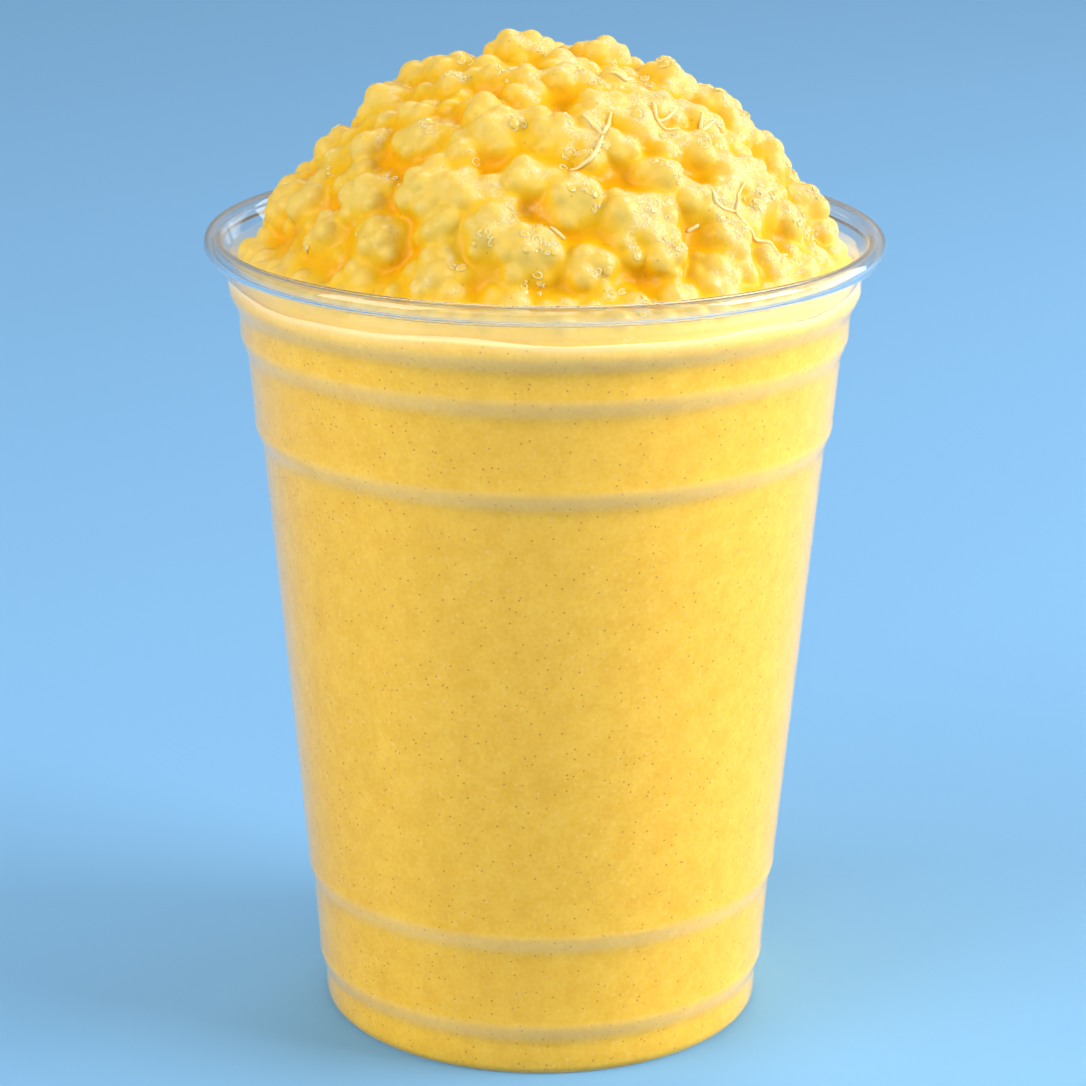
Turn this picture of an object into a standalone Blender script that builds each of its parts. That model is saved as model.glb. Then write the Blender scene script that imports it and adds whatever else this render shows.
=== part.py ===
"""Mango smoothie, heaped over the rim of a clear cold-drink cup.

The cup is one sheet of clear PET, thermoformed with five ledges down its wall and a rim curled
outwards. The smoothie is one mass: it fills the cup to the neck and stands above the rim as a
dome of fused, rounded lobes. Metres, +Z up, origin at the centre of the cup's foot.
"""

import math
import random

import bmesh
import bpy
import numpy as np

MM = 0.001

# Turned shapes: facets round, and how near points at the axis are joined
TURN_STEPS = 48
MERGE_DISTANCE = 0.01 * MM

# Cup: the sheet, its curled rim, with the angle in degrees where the curl ends, and its foot
WALL = 0.5 * MM
RIM_RADIUS = 49.0 * MM
LIP_MIDDLE = 117.0 * MM
LIP_HALF_WIDTH = 1.3 * MM
LIP_HALF_HEIGHT = 1.5 * MM
LIP_END = -110.0
LIP_POINTS = 7
NECK_TOP = 114.6 * MM
FOOT_ROUNDING = 1.0 * MM
FOOT_POINTS = 3
FOOT_RING_WIDTH = 6.0 * MM
PUNT_HEIGHT = 1.6 * MM
PUNT_SLOPE = 0.8 * MM
CLEAR_PET = (0.95, 0.97, 0.98)

# Bands of the cup's outer wall, foot to neck: lower edge, radius there, flare for each unit of
# height, and the drop of the ledge under each band
BANDS = (
    (0.0 * MM, 32.7 * MM, 0.013),
    (7.3 * MM, 33.6 * MM, 0.076),
    (21.8 * MM, 35.15 * MM, 0.090),
    (89.9 * MM, 42.0 * MM, 0.090),
    (103.4 * MM, 43.9 * MM, 0.090),
    (110.1 * MM, 45.5 * MM, 0.030),
)
LEDGE_DROP = 0.8 * MM

# Smoothie: its clearance to the cup, its level at the wall, and the radius and height of the
# smooth shoulder that slopes down to the wall from under the lobes
FILL_GAP = 0.3 * MM
FILL_LEVEL = 112.5 * MM
SHOULDER = ((40.0 * MM, 116.5 * MM), (42.8 * MM, 115.2 * MM))
MANGO_YELLOW = (0.87, 0.53, 0.10)

# Dome that the lobes make up: its sphere, the depth of the bare core under it, the rounding of
# its creases, its widest reach, and how often the sphere's faces are divided
DOME_MIDDLE = 100.8 * MM
DOME_RADIUS = 44.2 * MM
CREASE_DEPTH = 5.5 * MM
CREASE_ROUNDING = 0.38 * MM
DOME_REACH = 43.3 * MM
DOME_DETAIL = 6
SEED = 11

# The lobes that stand out at the front: degrees round from the front, degrees down from the top,
# width, and how far the lobe stands out of the dome
FRONT_LOBES = (
    (-150, 8, 11.0 * MM, 2.1 * MM),
    (127, 15, 8.5 * MM, 0.6 * MM),
    (-88, 20, 7.5 * MM, -0.2 * MM),
    (94, 23, 8.5 * MM, 1.2 * MM),
    (-18, 31, 10.0 * MM, 0.2 * MM),
    (26, 24, 7.0 * MM, -0.4 * MM),
    (-88, 33, 8.0 * MM, -0.3 * MM),
    (-49, 35, 8.5 * MM, 0.0 * MM),
    (95, 35, 7.5 * MM, 0.5 * MM),
    (7, 45, 9.5 * MM, 0.2 * MM),
    (40, 42, 9.0 * MM, -0.2 * MM),
    (-92, 42, 7.0 * MM, -1.4 * MM),
    (-90, 51, 7.5 * MM, -0.3 * MM),
    (-28, 49, 13.0 * MM, 1.2 * MM),
    (-52, 51, 8.5 * MM, 0.2 * MM),
    (87, 47, 7.5 * MM, 0.2 * MM),
    (-86, 60, 8.5 * MM, 0.9 * MM),
    (-6, 58, 13.0 * MM, 1.4 * MM),
    (21, 54, 10.5 * MM, 0.4 * MM),
    (60, 55, 8.5 * MM, 0.2 * MM),
    (-41, 60, 9.5 * MM, 0.4 * MM),
    (43, 60, 8.5 * MM, 0.2 * MM),
    (-24, 66, 11.0 * MM, 0.6 * MM),
    (9, 65, 9.5 * MM, 0.6 * MM),
    (30, 68, 9.0 * MM, 0.4 * MM),
    (92, 61, 7.5 * MM, 0.9 * MM),
    (90, 72, 8.0 * MM, 1.0 * MM),
    (-90, 72, 8.0 * MM, 0.8 * MM),
)

# The lobes between and behind those: widths tried, largest first, the lowest in degrees from the
# top, how near two lobes may stand, how far they sink in, how much that varies, and the share of
# a lobe's radius that its own ball has under the nodules
FILLING_WIDTHS = (9.5 * MM, 8.5 * MM, 7.5 * MM, 6.5 * MM, 5.5 * MM)
TRIES_PER_WIDTH = 700
LOWEST_LOBE = 71.0
LOBE_SPACING = 0.84
LOBE_SINK = 0.8 * MM
LOBE_RISE = 0.9 * MM
LOBE_CORE = 0.9

# Rounded nodules that cover each lobe: radius on a lobe of no size and its growth with the lobe's
# radius, spread in degrees from the lobe's axis, the share of a nodule that is sunk in, and how
# many there are: a fewest, and more as the lobe's area grows
NODULE_RADIUS = 0.9 * MM
NODULE_GROWTH = 0.21
NODULE_SPREAD = 72.0
NODULE_SINK = 0.45
NODULE_COVER = 1.3
FEWEST_NODULES = 2

# Unevenness of the nodules: smallest and largest share of their size, and shifts in radians
NODULE_SIZES = (0.72, 1.25)
TILT_SHIFT = 0.12
TURN_SHIFT = 0.3
SPIRAL_START = 0.3


def new_collection(name):
    collection = bpy.data.collections.new(name)
    bpy.context.scene.collection.children.link(collection)
    return collection


def plain_material(name, colour, roughness, ior, transmission=0.0):
    """A Principled material of one colour, given in linear light."""
    material = bpy.data.materials.new(name)
    material.use_nodes = True
    shader = material.node_tree.nodes["Principled BSDF"]
    shader.inputs["Base Color"].default_value = (*colour, 1.0)
    shader.inputs["Roughness"].default_value = roughness
    shader.inputs["Metallic"].default_value = 0.0
    shader.inputs["Transmission Weight"].default_value = transmission
    shader.inputs["IOR"].default_value = ior
    return material


def wall_outline(inset, top):
    """Points (radius, height) down the wall's bands, set in from the outer face, starting at top."""
    points = []
    for base, radius, flare in reversed(BANDS):
        points.append((radius + flare * (top - base) - inset, top))
        points.append((radius - inset, base))
        top = base - LEDGE_DROP
    return points[:-1]


def foot_outline(inset):
    """Points from the foot band round the foot, along its ring and up to the raised middle."""
    middle = BANDS[0][1] - inset - FOOT_ROUNDING
    points = []
    for step in range(FOOT_POINTS):
        turn = math.radians(90.0 * step / (FOOT_POINTS - 1))
        radius = middle + FOOT_ROUNDING * math.cos(turn)
        points.append((radius, inset + FOOT_ROUNDING * (1.0 - math.sin(turn))))
    ring_inner = BANDS[0][1] - FOOT_RING_WIDTH + inset
    points.append((ring_inner, inset))
    points.append((ring_inner - PUNT_SLOPE, PUNT_HEIGHT + inset))
    points.append((0.0, PUNT_HEIGHT + inset))
    return points


def lip_outline():
    """Points round the curled rim's skin, from the end of the curl up and over to the inside."""
    middle = RIM_RADIUS - LIP_HALF_WIDTH
    points = []
    for step in range(LIP_POINTS):
        turn = math.radians(LIP_END + (180.0 - LIP_END) * step / (LIP_POINTS - 1))
        radius = middle + LIP_HALF_WIDTH * math.cos(turn)
        points.append((radius, LIP_MIDDLE + LIP_HALF_HEIGHT * math.sin(turn)))
    return points


def turned(name, outline, collection):
    """An outline of (radius, height) points turned about Z by a Screw modifier."""
    mesh = bpy.data.meshes.new(name)
    edges = [(index, index + 1) for index in range(len(outline) - 1)]
    mesh.from_pydata([(radius, 0.0, height) for radius, height in outline], edges, [])
    piece = bpy.data.objects.new(name, mesh)
    collection.objects.link(piece)
    screw = piece.modifiers.new("Turn", "SCREW")
    screw.steps = TURN_STEPS
    screw.render_steps = TURN_STEPS
    screw.use_merge_vertices = True
    screw.merge_threshold = MERGE_DISTANCE
    screw.use_smooth_shade = True
    return piece


def direction(round_from_front, down_from_top):
    """Unit vector for two angles in degrees; the front is -Y."""
    round_angle = math.radians(round_from_front)
    down = math.radians(down_from_top)
    return np.array([
        math.sin(down) * math.sin(round_angle),
        -math.sin(down) * math.cos(round_angle),
        math.cos(down),
    ])


def lobes():
    """(axis, radius, rise) of each lobe: those at the front, then others wherever they still fit."""
    rng = random.Random(SEED)
    found = [(direction(turn, down), width / 2, rise) for turn, down, width, rise in FRONT_LOBES]
    lowest = math.cos(math.radians(LOWEST_LOBE))
    for width in FILLING_WIDTHS:
        for _ in range(TRIES_PER_WIDTH):
            down = math.degrees(math.acos(rng.uniform(lowest, 1.0)))
            axis = direction(rng.uniform(-180.0, 180.0), down)
            rise = rng.uniform(-LOBE_RISE, LOBE_RISE) - LOBE_SINK
            if all(
                DOME_RADIUS * np.linalg.norm(axis - other) > LOBE_SPACING * (width / 2 + radius)
                for other, radius, _ in found
            ):
                found.append((axis, width / 2, rise))
    return found


def nodule_radius(lobe_radius):
    return NODULE_RADIUS + NODULE_GROWTH * lobe_radius


def nodules(middle, axis, radius, rng):
    """(centre, radius) of the nodules over the outer side of one lobe, set out along a spiral."""
    size = nodule_radius(radius)
    count = FEWEST_NODULES + round(NODULE_COVER * (radius / size) ** 2)
    side = np.cross(axis, (1.0, 0.0, 0.0))
    side /= np.linalg.norm(side)
    other_side = np.cross(axis, side)
    golden_turn = math.pi * (3.0 - math.sqrt(5.0))
    start = rng.uniform(0.0, 2.0 * math.pi)
    balls = []
    for index in range(count):
        down = math.radians(NODULE_SPREAD) * math.sqrt((index + SPIRAL_START) / count)
        down += rng.uniform(-TILT_SHIFT, TILT_SHIFT)
        turn = start + golden_turn * index + rng.uniform(-TURN_SHIFT, TURN_SHIFT)
        around = math.cos(turn) * side + math.sin(turn) * other_side
        outward = math.cos(down) * axis + math.sin(down) * around
        own_size = size * rng.uniform(*NODULE_SIZES)
        balls.append((middle + outward * (radius - NODULE_SINK * own_size), own_size))
    return balls


def heap_balls():
    """(centre, radius) of every lobe and nodule, measured from the middle of the dome."""
    rng = random.Random(SEED)
    balls = []
    for axis, radius, rise in lobes():
        proud = (1.0 - NODULE_SINK) * nodule_radius(radius)
        middle = axis * (DOME_RADIUS + rise - radius - proud)
        balls.append((middle, LOBE_CORE * radius))
        balls.extend(nodules(middle, axis, radius, rng))
    return balls


def heap_surface(directions, balls):
    """How far the heap reaches from its middle in each direction, with its creases rounded.

    A ray leaves a ball at the far root of its crossing. The balls and the bare core are joined by
    a smooth maximum, which rounds the creases between them.
    """
    centres = np.array([centre for centre, _ in balls])
    radii = np.array([radius for _, radius in balls])
    along = directions @ centres.T
    crossing = along**2 - (centres**2).sum(axis=1) + radii**2
    reach = np.where(crossing > 0.0, along + np.sqrt(np.maximum(crossing, 0.0)), 0.0)
    core = np.full((len(directions), 1), DOME_RADIUS - CREASE_DEPTH)
    reach = np.concatenate([core, reach], axis=1)
    largest = reach.max(axis=1)
    spread = np.exp((reach - largest[:, None]) / CREASE_ROUNDING).sum(axis=1)
    largest += CREASE_ROUNDING * np.log(spread)
    across = np.hypot(directions[:, 0], directions[:, 1])
    limit = np.full_like(across, math.inf)
    np.divide(DOME_REACH, across, out=limit, where=across > 0.0)
    return np.minimum(largest, limit)


def heap(collection):
    """The lumpy dome, as a fine sphere whose points are moved out or in to the lobes' surface."""
    shape = bmesh.new()
    bmesh.ops.create_icosphere(shape, subdivisions=DOME_DETAIL, radius=1.0)
    directions = np.array([vertex.co.normalized() for vertex in shape.verts])
    reach = heap_surface(directions, heap_balls())
    for vertex, way, distance in zip(shape.verts, directions, reach):
        vertex.co = way * distance
        vertex.co.z += DOME_MIDDLE
    mesh = bpy.data.meshes.new("heap")
    shape.to_mesh(mesh)
    shape.free()
    piece = bpy.data.objects.new("heap", mesh)
    piece.hide_render = True
    piece.display_type = "WIRE"
    collection.objects.link(piece)
    return piece


def cup(collection):
    """One open sheet, the side that faces the drink, thickened outwards into the clear wall."""
    outline = lip_outline() + wall_outline(WALL, NECK_TOP) + foot_outline(WALL)
    piece = turned("cup", outline, collection)
    sheet = piece.modifiers.new("Sheet", "SOLIDIFY")
    sheet.thickness = WALL
    sheet.offset = 1.0
    sheet.use_even_offset = True
    piece.data.materials.append(
        plain_material("clear_pet", CLEAR_PET, roughness=0.05, ior=1.575, transmission=1.0)
    )
    return piece


def smoothie(collection, helpers):
    """The mass that fills the cup, turned to fit its inside, with the lumpy dome joined on top."""
    inset = WALL + FILL_GAP
    top = (0.0, SHOULDER[0][1])
    outline = [top, *SHOULDER] + wall_outline(inset, FILL_LEVEL) + foot_outline(inset)
    piece = turned("smoothie", outline, collection)
    join = piece.modifiers.new("Heap", "BOOLEAN")
    join.operation = "UNION"
    join.object = heap(helpers)
    piece.data.materials.append(
        plain_material("mango_smoothie", MANGO_YELLOW, roughness=0.3, ior=1.36)
    )
    return piece


for old in list(bpy.data.objects):
    bpy.data.objects.remove(old)
parts = new_collection("mango_smoothie")
cutters = new_collection("cutters")
cup(parts)
smoothie(parts, cutters)
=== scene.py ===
import math
import random

import bmesh
import bpy
import numpy as np
from mathutils import Matrix, Vector
from mathutils.bvhtree import BVHTree


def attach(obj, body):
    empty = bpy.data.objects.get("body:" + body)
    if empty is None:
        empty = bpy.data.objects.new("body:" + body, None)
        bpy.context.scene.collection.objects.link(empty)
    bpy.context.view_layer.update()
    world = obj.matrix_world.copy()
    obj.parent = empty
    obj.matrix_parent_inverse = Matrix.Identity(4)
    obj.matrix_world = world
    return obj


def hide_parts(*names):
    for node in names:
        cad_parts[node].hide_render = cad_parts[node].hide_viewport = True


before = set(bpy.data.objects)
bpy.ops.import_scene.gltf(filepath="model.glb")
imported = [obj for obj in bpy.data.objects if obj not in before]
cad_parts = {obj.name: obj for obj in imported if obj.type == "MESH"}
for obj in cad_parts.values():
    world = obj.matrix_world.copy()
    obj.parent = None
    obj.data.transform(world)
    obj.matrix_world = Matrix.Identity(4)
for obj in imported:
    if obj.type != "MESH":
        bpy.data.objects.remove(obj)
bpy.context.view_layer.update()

# The cup
# One sheet of clear PET, heated and drawn over a stepped former, so its ledges are softly rounded
# and each has a faint bead above it. The edge is curled out and under into a hollow bead that a
# lid snaps on, and the foot stands on a ring round a raised middle.
MM = 0.001
WALL = 0.5 * MM
CUP_TURNS = 160
RIM_RADIUS = 49.0 * MM
LIP_MIDDLE = 117.0 * MM
LIP_HALF_WIDTH = 1.3 * MM
LIP_HALF_HEIGHT = 1.5 * MM
LIP_END = -110.0
LIP_POINTS = 22
NECK_TOP = 114.6 * MM
FOOT_RING_WIDTH = 6.0 * MM
PUNT_HEIGHT = 1.6 * MM
PUNT_SLOPE = 0.8 * MM

# Bands of the outer wall, foot to neck: lower edge, radius there, flare for each unit of height
BANDS = (
    (0.0 * MM, 32.7 * MM, 0.013),
    (7.3 * MM, 33.6 * MM, 0.076),
    (21.8 * MM, 35.15 * MM, 0.090),
    (89.9 * MM, 42.0 * MM, 0.090),
    (103.4 * MM, 43.9 * MM, 0.090),
    (110.1 * MM, 45.5 * MM, 0.030),
)
LEDGE_DROP = 2.2 * MM
LEDGE_EASING = 1.0 * MM
BEAD_HEIGHT = 1.6 * MM
BEAD_DEPTH = 0.12 * MM
EASING_STEPS = 3
MERGE_DISTANCE = 0.002 * MM


def linear(hex_colour):
    """An sRGB hex colour as the linear red, green, blue and alpha that a shader takes."""
    levels = [int(hex_colour[place : place + 2], 16) / 255 for place in (1, 3, 5)]
    return (*(c / 12.92 if c <= 0.04045 else ((c + 0.055) / 1.055) ** 2.4 for c in levels), 1.0)


def add_node(material, kind, settings=None, links=None):
    """Adds a node; settings are its properties or sockets' values, links name what feeds a socket."""
    node = material.node_tree.nodes.new(kind)
    for name, value in (settings or {}).items():
        if isinstance(name, int) or name in node.inputs:
            node.inputs[name].default_value = value
        else:
            setattr(node, name, value)
    for name, source in (links or {}).items():
        material.node_tree.links.new(source, node.inputs[name])
    return node


def new_material(name):
    """An empty node material: the caller adds its shader and its output."""
    material = bpy.data.materials.new(name)
    material.use_nodes = True
    material.node_tree.nodes.clear()
    return material


def wall_outline(inset, top):
    """Points (radius, height) down the wall, with the faint bead over each ledge."""
    points = []
    for base, radius, flare in reversed(BANDS):
        points.append((radius + flare * (top - base) - inset, top))
        if base:
            bead_top = radius + flare * BEAD_HEIGHT - inset
            bead_middle = radius + flare * BEAD_HEIGHT / 2 + BEAD_DEPTH - inset
            points.append((bead_top, base + BEAD_HEIGHT))
            points.append((bead_middle, base + BEAD_HEIGHT / 2))
            points.append((radius - inset, base))
        top = base - LEDGE_DROP
    return points


def foot_outline(inset):
    """Points along the foot's ring and up to the raised middle, from its outer edge."""
    ring_inner = BANDS[0][1] - FOOT_RING_WIDTH + inset
    return [
        (BANDS[0][1] - inset, inset),
        (ring_inner, inset),
        (ring_inner - PUNT_SLOPE, PUNT_HEIGHT + inset),
        (0.0, PUNT_HEIGHT + inset),
    ]


def eased(corners, easing, steps):
    """The outline with each corner replaced by a short arc, as a drawn sheet has it."""
    corners = [Vector(corner) for corner in corners]
    points = [corners[0]]
    for before, corner, after in zip(corners, corners[1:], corners[2:]):
        back = before - corner
        onward = after - corner
        start = corner + back.normalized() * min(easing, back.length / 2)
        end = corner + onward.normalized() * min(easing, onward.length / 2)
        for step in range(steps + 1):
            share = step / steps
            points.append(start.lerp(corner, share).lerp(corner.lerp(end, share), share))
    return points + [corners[-1]]


def lip_outline():
    """Points round the curled bead's skin, from the end of the curl up and over to the inside."""
    middle = RIM_RADIUS - LIP_HALF_WIDTH
    points = []
    for step in range(LIP_POINTS):
        turn = math.radians(LIP_END + (180.0 - LIP_END) * step / (LIP_POINTS - 1))
        radius = middle + LIP_HALF_WIDTH * math.cos(turn)
        points.append(Vector((radius, LIP_MIDDLE + LIP_HALF_HEIGHT * math.sin(turn))))
    return points


def turned(name, outline, turns):
    """A smooth skin: the outline of (radius, height) points turned about Z."""
    shape = bmesh.new()
    points = [shape.verts.new((radius, 0.0, height)) for radius, height in outline]
    lines = [shape.edges.new(pair) for pair in zip(points, points[1:])]
    bmesh.ops.spin(
        shape, geom=points + lines, axis=(0, 0, 1), cent=(0, 0, 0),
        angle=2 * math.pi, steps=turns, use_merge=True,
    )
    bmesh.ops.remove_doubles(shape, verts=shape.verts, dist=MERGE_DISTANCE)
    bmesh.ops.recalc_face_normals(shape, faces=shape.faces)
    mesh = bpy.data.meshes.new(name)
    shape.to_mesh(mesh)
    shape.free()
    mesh.polygons.foreach_set("use_smooth", [True] * len(mesh.polygons))
    piece = bpy.data.objects.new(name, mesh)
    bpy.context.scene.collection.objects.link(piece)
    return piece


# Thermoformed PET: clear and glossy, with a slight waviness left by drawing the warm sheet,
# which breaks up what it mirrors, and a faint pale bloom towards its edges.
clear_pet = new_material("clear_thermoformed_pet")
pet_place = add_node(clear_pet, "ShaderNodeTexCoord")
pet_waves = add_node(
    clear_pet, "ShaderNodeTexNoise", {"Scale": 1 / (9 * MM), "Detail": 1.0},
    {"Vector": pet_place.outputs["Object"]},
)
pet_relief = add_node(
    clear_pet, "ShaderNodeBump", {"Strength": 0.25, "Distance": 0.05 * MM},
    {"Height": pet_waves.outputs["Fac"]},
)
pet_shader = add_node(
    clear_pet, "ShaderNodeBsdfPrincipled",
    {
        "Base Color": linear("#fbfdff"), "Roughness": 0.05, "IOR": 1.575, "Transmission Weight": 1.0,
        "Sheen Weight": 0.4, "Sheen Roughness": 0.3, "Sheen Tint": linear("#fffaf0"),
    },
    {"Normal": pet_relief.outputs["Normal"]},
)
add_node(clear_pet, "ShaderNodeOutputMaterial", None, {"Surface": pet_shader.outputs["BSDF"]})

neck_outline = eased(
    [lip_outline()[-1], *wall_outline(WALL, NECK_TOP), *foot_outline(WALL)],
    LEDGE_EASING, EASING_STEPS,
)
cup = turned("clear_cup", [*lip_outline(), *neck_outline[1:]], CUP_TURNS)
sheet = cup.modifiers.new("Sheet", "SOLIDIFY")
sheet.thickness = WALL
sheet.offset = -1.0
sheet.use_even_offset = True
cup.data.materials.append(clear_pet)
cup.visible_shadow = False
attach(cup, "root")
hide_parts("cup")

# The smoothie in the cup
# Mango blended with ice and milk, poured in cold: thick, opaque and wet against the wall, with
# fine pulp, and tiny air bubbles caught at the plastic. Its edge wanders a little up and down,
# and froth lines that edge. A pale band over each ledge is painted highlight, for the light that
# the bead above it catches, and it also lifts the shade on the ledge's underside.
WALL_REACH = 0.1 * MM
FILL_LEVEL = 112.5 * MM
EDGE_WAVES = ((0.33 * MM, 3, 0.8), (0.275 * MM, 7, 2.1), (0.165 * MM, 13, 0.0))
MENISCUS_DROP = 0.8 * MM
MENISCUS_WIDTH = 0.9 * MM
FROTH_REACH = 3.0 * MM
# Share of pale cream over each ledge: painted highlight, for the light that its bead catches
LEDGE_HIGHLIGHT = 0.6


def edge_wave(angle):
    """How far the smoothie's edge stands above its mean level, at an angle round the cup."""
    return sum(height * math.sin(count * angle + phase) for height, count, phase in EDGE_WAVES)


fill_wall = wall_outline(WALL - WALL_REACH, FILL_LEVEL)
edge_radius = fill_wall[0][0]
fill_outline = eased(
    [*fill_wall, *foot_outline(WALL - WALL_REACH)], LEDGE_EASING, EASING_STEPS
)
meniscus = [
    (0.0, FILL_LEVEL - MENISCUS_DROP),
    (edge_radius - MENISCUS_WIDTH, FILL_LEVEL - MENISCUS_DROP),
    (edge_radius - MENISCUS_WIDTH / 3, FILL_LEVEL - MENISCUS_DROP / 2),
]
fill = turned("smoothie_in_cup", [*meniscus, *fill_outline], CUP_TURNS)
froth_and_ledge_highlight = fill.data.attributes.new("froth_and_ledge_highlight", "FLOAT", "POINT")
ledge_span = BEAD_HEIGHT + LEDGE_DROP
for vertex in fill.data.vertices:
    edge_level = FILL_LEVEL + edge_wave(math.atan2(vertex.co.y, vertex.co.x))
    if vertex.co.z > FILL_LEVEL - MENISCUS_DROP / 4:
        vertex.co.z = edge_level
    # Over each ledge the pale cream is painted highlight, highest over the bead
    ups = [(vertex.co.z - base + LEDGE_DROP) / ledge_span for base, _, _ in BANDS[1:]]
    over_ledge = max(math.sin(math.pi * min(1.0, max(0.0, up))) for up in ups)
    at_edge = 1.0 - (edge_level - vertex.co.z) / FROTH_REACH
    froth_and_ledge_highlight.data[vertex.index].value = max(at_edge, LEDGE_HIGHLIGHT * over_ledge)

# Blended mango: creamy yellow that light soaks into, matt behind the plastic that it wets. Pulp
# gives it a faint mottle, dark fibre specks and pale bubbles, drawn as coarse as they show, the
# bubbles' pale spots partly painted glint. The froth is a paler cream, and so is the painted
# highlight over each ledge.
blended_mango = new_material("blended_mango_against_pet")
mango_place = add_node(blended_mango, "ShaderNodeTexCoord")
mango_cloud = add_node(
    blended_mango, "ShaderNodeTexNoise", {"Scale": 1 / (3 * MM), "Detail": 4.0, "Roughness": 0.65},
    {"Vector": mango_place.outputs["Object"]},
)
mango_grain = add_node(
    blended_mango, "ShaderNodeTexNoise", {"Scale": 1 / (0.6 * MM), "Detail": 2.0},
    {"Vector": mango_place.outputs["Object"]},
)
mango_mottle = add_node(
    blended_mango, "ShaderNodeMath", {"operation": "MULTIPLY_ADD", 1: 0.7},
    {0: mango_grain.outputs["Fac"], 2: mango_cloud.outputs["Fac"]},
)
mango_range = add_node(
    blended_mango, "ShaderNodeMapRange", {"From Min": 0.65, "From Max": 1.05},
    {"Value": mango_mottle.outputs["Value"]},
)
mango_colour = add_node(
    blended_mango, "ShaderNodeMix", {"data_type": "RGBA", 6: linear("#e9bb1e"), 7: linear("#f3cb3e")},
    {0: mango_range.outputs["Result"]},
)
fibre_cells = add_node(
    blended_mango, "ShaderNodeTexVoronoi", {"Scale": 1 / (1.3 * MM)},
    {"Vector": mango_place.outputs["Object"]},
)
fibre_specks = add_node(
    blended_mango, "ShaderNodeMapRange",
    {"From Min": 0.08, "From Max": 0.15, "To Min": 0.8, "To Max": 0.0},
    {"Value": fibre_cells.outputs["Distance"]},
)
speckled = add_node(
    blended_mango, "ShaderNodeMix", {"data_type": "RGBA", 7: linear("#b4741c")},
    {0: fibre_specks.outputs["Result"], 6: mango_colour.outputs[2]},
)
# Pale spots for tiny air bubbles at the wall, partly painted glints
bubble_and_glint_cells = add_node(
    blended_mango, "ShaderNodeTexVoronoi", {"Scale": 1 / (1.7 * MM)},
    {"Vector": mango_place.outputs["Object"]},
)
bubble_and_glint_spots = add_node(
    blended_mango, "ShaderNodeMapRange",
    {"From Min": 0.08, "From Max": 0.2, "To Min": 0.3, "To Max": 0.0},
    {"Value": bubble_and_glint_cells.outputs["Distance"]},
)
bubbled_and_glinted = add_node(
    blended_mango, "ShaderNodeMix", {"data_type": "RGBA", 7: linear("#fbdd92")},
    {0: bubble_and_glint_spots.outputs["Result"], 6: speckled.outputs[2]},
)
# Pale cream for the froth at the edge and, over the ledges, as painted highlight
froth_and_highlight_share = add_node(blended_mango, "ShaderNodeAttribute", {"attribute_name": "froth_and_ledge_highlight"})
froth_and_highlight_fade = add_node(blended_mango, "ShaderNodeValToRGB", None, {"Fac": froth_and_highlight_share.outputs["Fac"]})
froth_and_highlight_ramp = froth_and_highlight_fade.color_ramp.elements
froth_and_highlight_ramp[0].position = 0.1
froth_and_highlight_ramp[0].color = (0, 0, 0, 1)
froth_and_highlight_ramp[1].position = 0.82
froth_and_highlight_ramp[1].color = (0.7, 0.7, 0.7, 1)
froth_and_highlight_ramp.new(0.68).color = (0.4, 0.4, 0.4, 1)
frothed_and_highlighted = add_node(
    blended_mango, "ShaderNodeMix", {"data_type": "RGBA", 7: linear("#f4deae")},
    {0: froth_and_highlight_fade.outputs["Color"], 6: bubbled_and_glinted.outputs[2]},
)
mango_shader = add_node(
    blended_mango, "ShaderNodeBsdfPrincipled",
    {
        "subsurface_method": "BURLEY",
        "Roughness": 0.6, "IOR": 1.36, "Specular IOR Level": 0.1, "Subsurface Weight": 0.4,
        "Subsurface Radius": (1.0, 0.7, 0.3), "Subsurface Scale": 2.5 * MM,
    },
    {"Base Color": frothed_and_highlighted.outputs[2]},
)
add_node(blended_mango, "ShaderNodeOutputMaterial", None, {"Surface": mango_shader.outputs["BSDF"]})
fill.data.materials.append(blended_mango)
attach(fill, "root")
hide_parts("smoothie")

# The heap above the rim
# The same smoothie, spooned on half frozen so that it holds its shape: a dome of soft lobes that
# have run together, each swollen into rounded nodules, on a smooth shoulder that meets the wall.
# Below, the shoulder's outline is radius and height, angles are degrees, and the exponents that
# blend one shape into the next are capped, as the shapes farther off than that say nothing.
SHOULDER = (
    (0.0, 116.7 * MM), (39.9 * MM, 116.7 * MM), (42.9 * MM, 115.4 * MM), (44.2 * MM, 113.8 * MM),
    (44.75 * MM, 112.3 * MM), (44.75 * MM, 109.0 * MM),
)
SHOULDER_ROUNDING = 0.25 * MM
HEAP_BOTTOM = 110.8 * MM
HEAP_LOWEST = 80.0
DOME_MIDDLE = 100.8 * MM
DOME_RADIUS = 44.2 * MM
CREASE_DEPTH = 3.8 * MM
CREASE_ROUNDING = 0.8 * MM
CONE_MARGIN = 4.0
MOST_NEAR = 50.0
MOST_FAR = 200.0
DOME_REACH = 44.3 * MM
DOME_DETAIL = 8
WALK_START = 52.0 * MM
WALK_STEPS = 16
SEED = 11

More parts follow.
